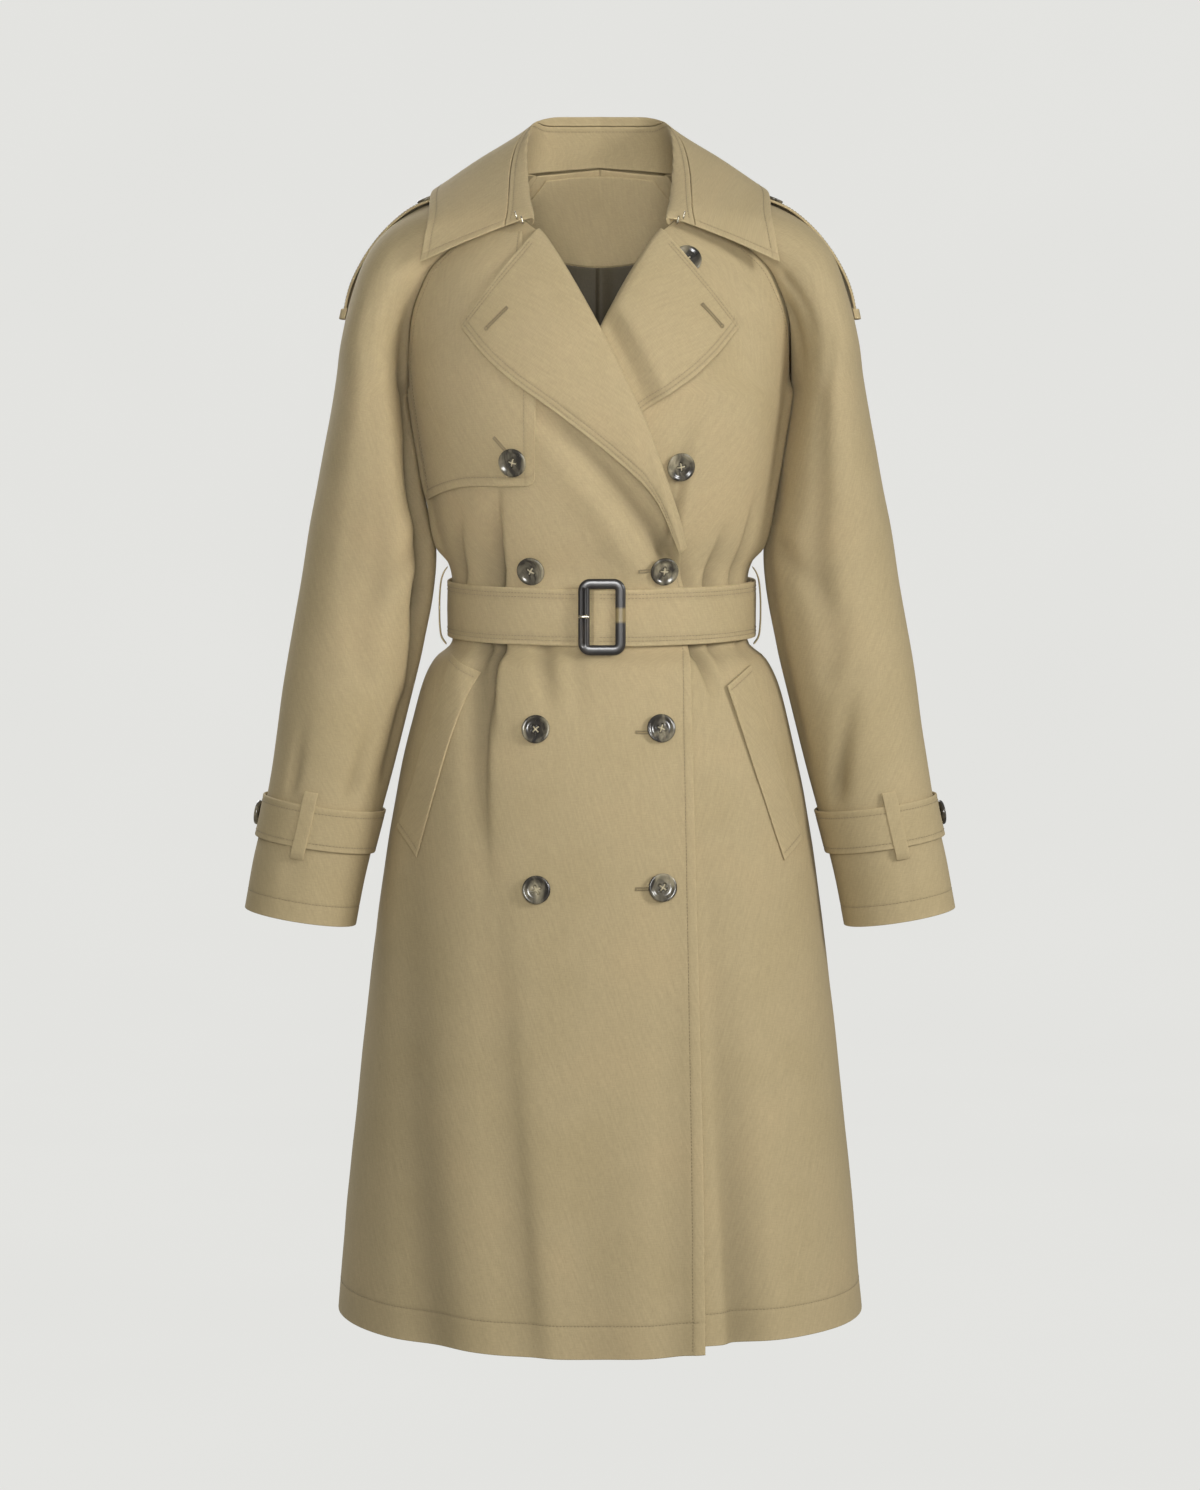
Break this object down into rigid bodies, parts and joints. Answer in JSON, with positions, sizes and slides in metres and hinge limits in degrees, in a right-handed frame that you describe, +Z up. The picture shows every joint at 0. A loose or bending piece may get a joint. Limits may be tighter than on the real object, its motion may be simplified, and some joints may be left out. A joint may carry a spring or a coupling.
{
  "type": "trench coat",
  "caption": "Belted double-breasted trench coat with raglan sleeves, wide lapels, a storm flap, epaulettes and cuff straps, hollow and filled out as if worn.",
  "frame": {"origin": "the nape, at the seam between back and collar on the middle plane, where the coat rests on the wearer's shoulders or hangs from a hanger", "axes": "+Z up along the coat, from hem to collar; the front faces -Y; +X is the wearer's left"},
  "size_m": [0.64, 0.3374, 1.0902],
  "materials": {
    "gabardine": "matte cotton twill",
    "lining": "soft sheen",
    "horn": "glossy",
    "metal": "polished"
  },
  "bodies": {
    "root": {"front_right": "gabardine", "front_left": "gabardine", "lapel_right": "gabardine", "lapel_left": "gabardine", "storm_flap": "gabardine", "collar_stand": "gabardine", "collar_fall": "gabardine", "back_neck_facing": "gabardine", "back_lining": "lining", "back_right": "gabardine", "sleeve_right": "gabardine", "epaulette_right": "gabardine", "epaulette_carrier_right": "gabardine", "cuff_strap_right": "gabardine", "cuff_loop_right": "gabardine", "belt_loop_right": "gabardine", "pocket_welt_right": "gabardine", "button_epaulette_right": "horn", "button_cuff_right": "horn", "back_left": "gabardine", "sleeve_left": "gabardine", "epaulette_left": "gabardine", "epaulette_carrier_left": "gabardine", "cuff_strap_left": "gabardine", "cuff_loop_left": "gabardine", "belt_loop_left": "gabardine", "pocket_welt_left": "gabardine", "button_epaulette_left": "horn", "button_cuff_left": "horn", "belt": "gabardine", "belt_end": "gabardine", "buckle_frame": "horn", "buckle_prong": "metal", "button_flap": "horn", "button_right_top": "horn", "button_right_middle": "horn", "button_right_low": "horn", "button_left_chest": "horn", "button_left_top": "horn", "button_left_middle": "horn", "button_left_low": "horn", "button_collar": "horn"}
  },
  "joints": []
}
